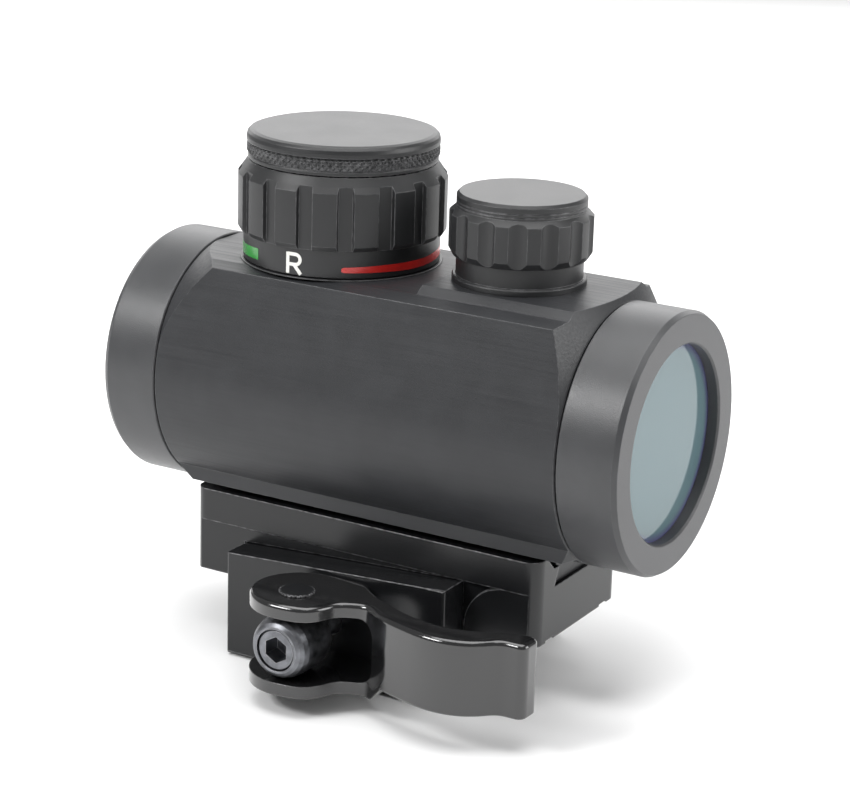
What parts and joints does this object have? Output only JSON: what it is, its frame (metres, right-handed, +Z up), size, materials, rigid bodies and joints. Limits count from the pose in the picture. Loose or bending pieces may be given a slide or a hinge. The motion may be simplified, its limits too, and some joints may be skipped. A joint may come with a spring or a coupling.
{
  "type": "red dot sight",
  "caption": "Compact tube red dot sight with capped windage and elevation adjusters, a brightness dial over a coin cell, and a cam-lever quick-detach rail clamp.",
  "frame": {"origin": "centre of the flat seat that rests on the rail", "axes": "+Z up, along the elevation turret; +Y along the tube towards the target; +X to the user's right, along the windage turret"},
  "size_m": [0.0735, 0.0966, 0.0884],
  "materials": {
    "black_body": "satin black anodised",
    "black_mount": "semi-gloss black anodised",
    "black_lever": "gloss black",
    "dark_steel": "blackened steel, worn edges",
    "bright_steel": "bright",
    "brass_parts": "turned brass",
    "black_inner": "matte black anodised",
    "coated_glass": "clear with a pale coating",
    "rubber_seal": "matte",
    "circuit_board": "green solder mask",
    "polyimide": "amber film",
    "led_lens": "clear red"
  },
  "bodies": {
    "sight": {"main_housing": "black_body", "rear_collar": "black_body", "front_collar": "black_body", "rear_window": "coated_glass", "front_window": "coated_glass", "rear_window_seal": "rubber_seal", "front_window_seal": "rubber_seal", "rear_retaining_ring": "black_inner", "front_retaining_ring": "black_inner", "yaw_pins": "bright_steel", "led_flex": "polyimide", "return_spring": "bright_steel", "turret_post": "black_body", "dial_snap_ring": "bright_steel", "switch_board": "circuit_board", "board_clip": "bright_steel", "detent_ball": "bright_steel", "detent_spring": "bright_steel", "coin_cell": "bright_steel", "cell_spring": "brass_parts", "elevation_base": "black_body", "windage_base": "black_body", "mount_base": "black_mount", "base_screws": "dark_steel", "stud_nut": "dark_steel", "cam_barrel": "dark_steel", "jaw_spring": "bright_steel"},
    "gimbal": {"gimbal_ring": "black_inner"},
    "optic_tube": {"inner_tube": "black_inner", "collimator_lens": "coated_glass", "lens_ring": "black_inner", "pitch_pins": "bright_steel", "led_holder": "black_inner", "led_emitter": "led_lens", "led_board": "circuit_board"},
    "dial": {"brightness_dial": "black_body", "contact_wiper": "brass_parts"},
    "battery_cover": {"battery_cap": "black_body", "battery_cap_seal": "rubber_seal"},
    "elevation_cover": {"elevation_cap": "black_body", "elevation_cap_seal": "rubber_seal"},
    "windage_cover": {"windage_cap": "black_body", "windage_cap_seal": "rubber_seal"},
    "elevation_drive": {"elevation_screw": "brass_parts"},
    "elevation_pusher": {"elevation_plunger": "brass_parts"},
    "windage_drive": {"windage_screw": "brass_parts"},
    "windage_pusher": {"windage_plunger": "brass_parts"},
    "lever": {"qd_lever": "black_lever", "lever_pins": "dark_steel"},
    "jaw": {"clamp_jaw": "black_mount"},
    "stud": {"tension_screw": "dark_steel"}
  },
  "joints": [
    {"name": "gimbal_yaw", "type": "hinge", "parent": "sight", "child": "gimbal", "pos_m": [0, 0.03475, 0.0338], "axis": [0, 0, 1], "range_deg": [-0.54, 0.54], "deforming": ["return_spring"]},
    {"name": "tube_pitch", "type": "hinge", "parent": "gimbal", "child": "optic_tube", "pos_m": [0, 0.03475, 0.0338], "axis": [-1, 0, 0], "range_deg": [-0.54, 0.54], "deforming": ["return_spring"]},
    {"name": "dial_turn", "type": "hinge", "parent": "sight", "child": "dial", "pos_m": [0, 0.01475, 0.0338], "axis": [0, 0, 1], "range_deg": [-150, 150]},
    {"name": "battery_cap_lift", "type": "slide", "parent": "sight", "child": "battery_cover", "axis": [0, 0, 1], "range_m": [0, 0.012]},
    {"name": "elevation_cap_lift", "type": "slide", "parent": "sight", "child": "elevation_cover", "axis": [0, 0, 1], "range_m": [0, 0.014]},
    {"name": "windage_cap_lift", "type": "slide", "parent": "sight", "child": "windage_cover", "axis": [1, 0, 0], "range_m": [0, 0.014]},
    {"name": "elevation_turn", "type": "hinge", "parent": "sight", "child": "elevation_drive", "pos_m": [0, -0.01895, 0.0338], "axis": [0, 0, 1], "range_deg": [-360, 360]},
    {"name": "elevation_push", "type": "slide", "parent": "sight", "child": "elevation_pusher", "axis": [0, 0, 1], "range_m": [-0.00051, 0.00051]},
    {"name": "windage_turn", "type": "hinge", "parent": "sight", "child": "windage_drive", "pos_m": [0, -0.01895, 0.0338], "axis": [1, 0, 0], "range_deg": [-360, 360]},
    {"name": "windage_push", "type": "slide", "parent": "sight", "child": "windage_pusher", "axis": [1, 0, 0], "range_m": [-0.00051, 0.00051]},
    {"name": "lever_swing", "type": "hinge", "parent": "sight", "child": "lever", "pos_m": [-0.0301, 0.00315, -0.0009], "axis": [0, 0, -1], "range_deg": [0, 110]},
    {"name": "jaw_slide", "type": "slide", "parent": "sight", "child": "jaw", "axis": [-1, 0, 0], "range_m": [0, 0.00151], "deforming": ["jaw_spring"]},
    {"name": "stud_turn", "type": "hinge", "parent": "sight", "child": "stud", "pos_m": [0, 0.00315, -0.0009], "axis": [1, 0, 0], "range_deg": [-360, 360]}
  ],
  "couplings": [
    {"joint": "gimbal_yaw", "follows": "windage_turn", "ratio": 0.0014819},
    {"joint": "tube_pitch", "follows": "elevation_turn", "ratio": 0.0014819},
    {"joint": "elevation_push", "follows": "elevation_turn", "m_per_rad": 0.000079577},
    {"joint": "windage_push", "follows": "windage_turn", "m_per_rad": 0.000079577},
    {"joint": "jaw_slide", "follows": "lever_swing", "m_per_rad": 0.0007813}
  ]
}
